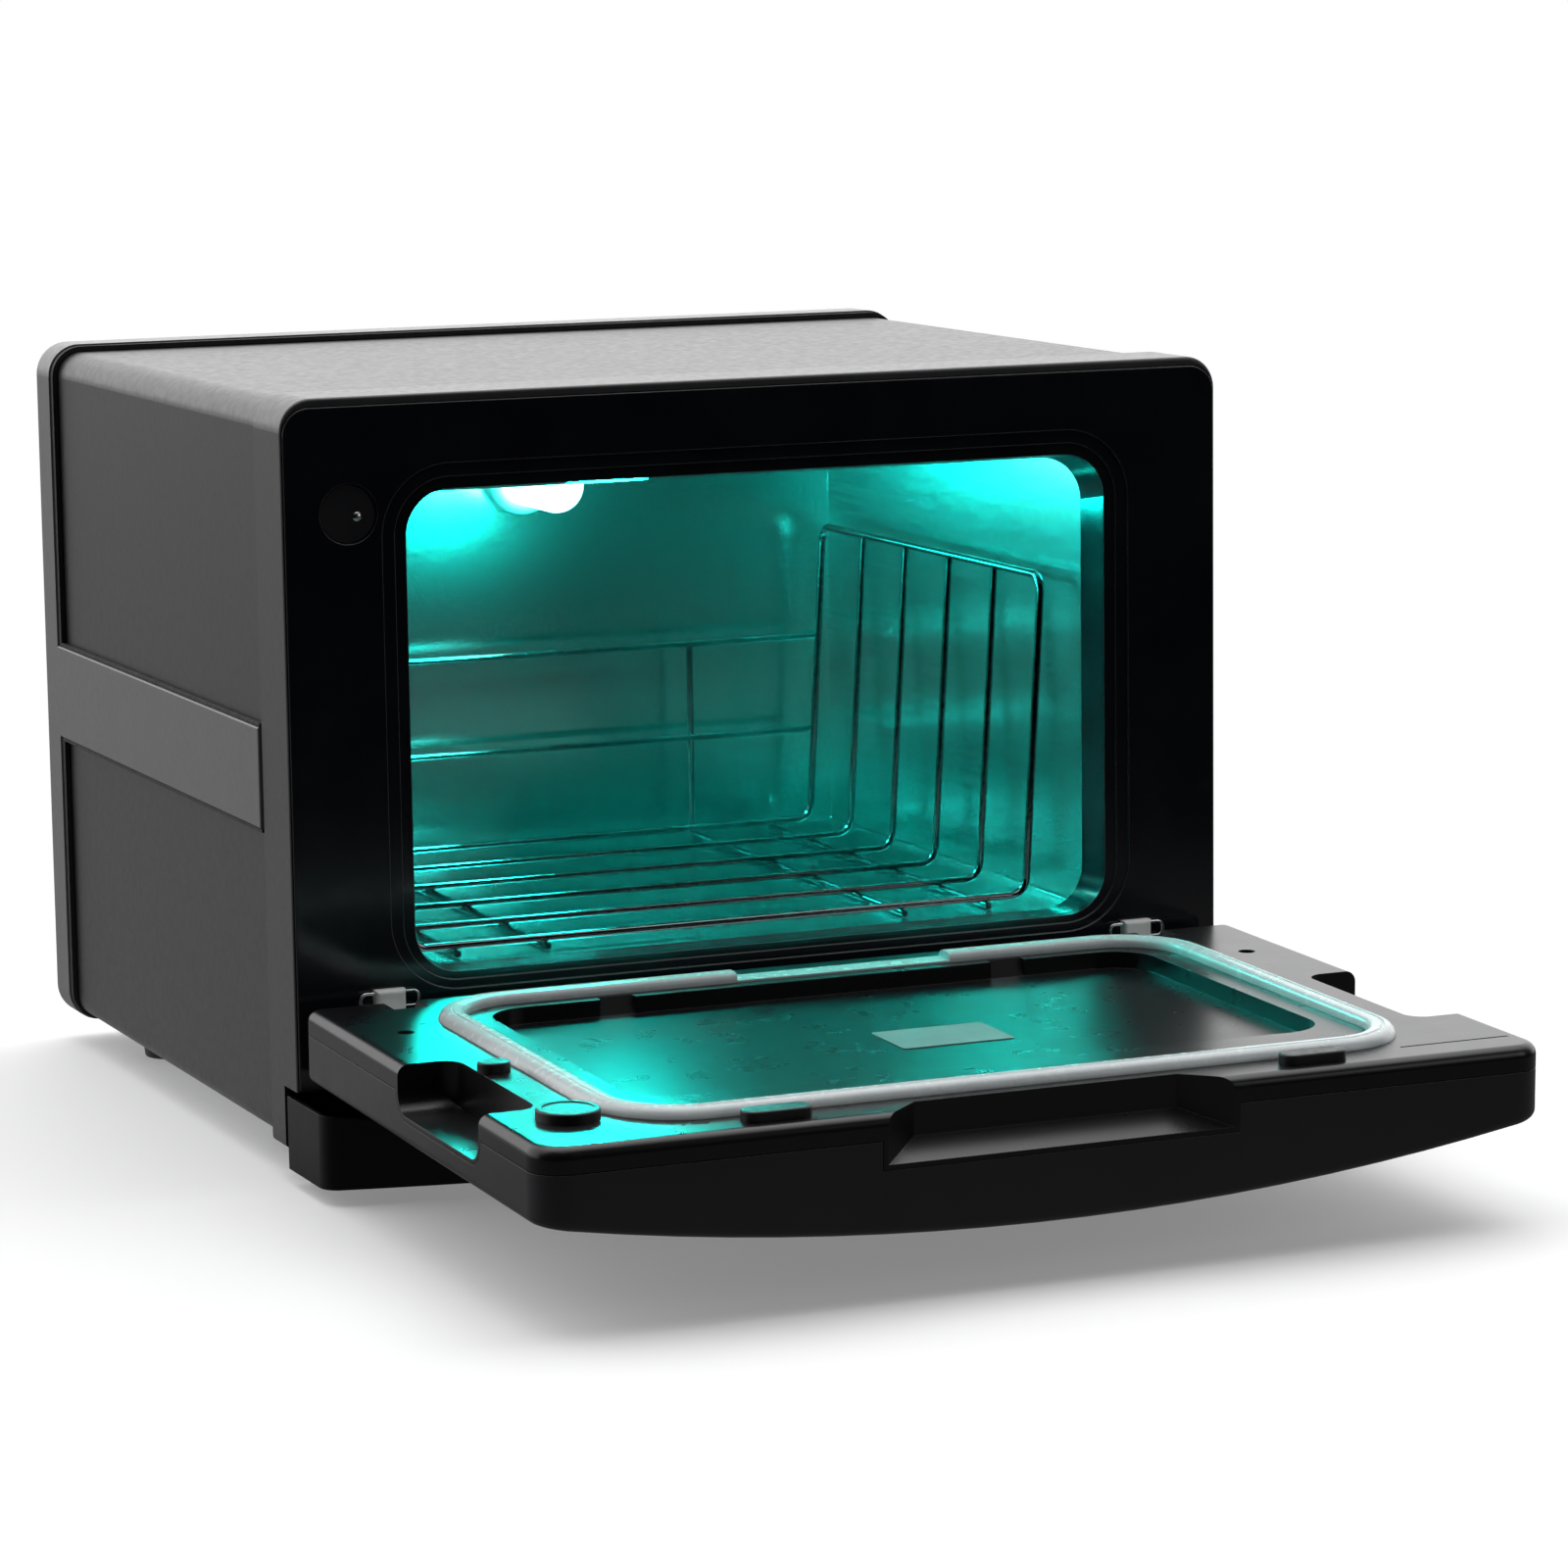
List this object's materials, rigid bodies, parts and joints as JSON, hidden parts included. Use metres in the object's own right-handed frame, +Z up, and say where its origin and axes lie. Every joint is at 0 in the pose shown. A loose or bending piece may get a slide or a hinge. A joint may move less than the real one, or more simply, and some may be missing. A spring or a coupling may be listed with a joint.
{
  "type": "hot towel cabinet",
  "caption": "Countertop hot-towel cabinet with a drop-down gasketed door, lamp-lit metal chamber, wire towel basket and sliding drip tray.",
  "frame": {"origin": "on the table top, under the middle of the whole object's box with the door open", "axes": "+X to the viewer's right, the door opens towards -Y, +Z up"},
  "size_m": [0.452, 0.678, 0.3465],
  "materials": {
    "wrapper": "fine satin powder coat",
    "frame": "satin grey coat",
    "bezel": "high gloss black",
    "black_plastic": "satin black moulding",
    "seal": "matt black",
    "liner": "bright rolled sheet",
    "zinc_sheet": "plain zinc-plated sheet",
    "insulation": "white fibre blanket",
    "heater": "silicone heater mat",
    "chrome_wire": "bright plated wire",
    "lamp": "frosted lit tube",
    "white_moulding": "white moulding",
    "nylon": "white nylon",
    "steel": "bright steel",
    "rubber": "black rubber",
    "silicone": "pale translucent silicone",
    "foam": "cast foam",
    "electrical": "black electrical moulding",
    "leads": "silicone lead cover",
    "plate": "pale bare foil"
  },
  "bodies": {
    "cabinet": {"outer_wrapper": "wrapper", "front_frame": "frame", "front_bezel": "bezel", "catch_plate": "black_plastic", "catch_screw": "steel", "rear_frame": "frame", "rear_seal": "seal", "rear_cover": "wrapper", "rear_screws": "steel", "base_pan": "zinc_sheet", "rubber_feet": "rubber", "foot_screws": "steel", "inner_liner": "liner", "insulation_sleeve": "insulation", "heater_pad": "heater", "thermostat": "electrical", "thermal_cutout": "electrical", "lamp_holder": "white_moulding", "uv_lamp": "lamp", "lamp_ballast": "zinc_sheet", "terminal_block": "white_moulding", "wiring_loom": "leads", "towel_basket": "chrome_wire", "hinge_arm_left": "nylon", "hinge_arm_right": "nylon", "hinge_spring_left": "steel", "hinge_spring_right": "steel", "tray_guides": "zinc_sheet", "mains_inlet": "electrical", "switch_housing": "electrical"},
    "door": {"door_inner_panel": "black_plastic", "door_outer_shell": "black_plastic", "door_foam": "foam", "door_gasket": "silicone", "door_bumpers": "rubber", "magnet_pad": "rubber", "door_screws": "steel", "label_plate": "plate", "hinge_pin_left": "steel", "hinge_pin_right": "steel"},
    "tray": {"drip_tray": "black_plastic"},
    "rocker": {"power_rocker": "electrical"}
  },
  "joints": [
    {"name": "door_hinge", "type": "hinge", "parent": "cabinet", "child": "door", "pos_m": [0, -0.06454, 0.0672], "axis": [-1, 0, 0], "range_deg": [0, 91.2]},
    {"name": "tray_slide", "type": "slide", "parent": "cabinet", "child": "tray", "axis": [0, -1, 0], "range_m": [0, 0.09]},
    {"name": "rocker_pivot", "type": "hinge", "parent": "cabinet", "child": "rocker", "pos_m": [-0.105, 0.33346, 0.0775], "axis": [1, 0, 0], "range_deg": [0, 24]}
  ]
}
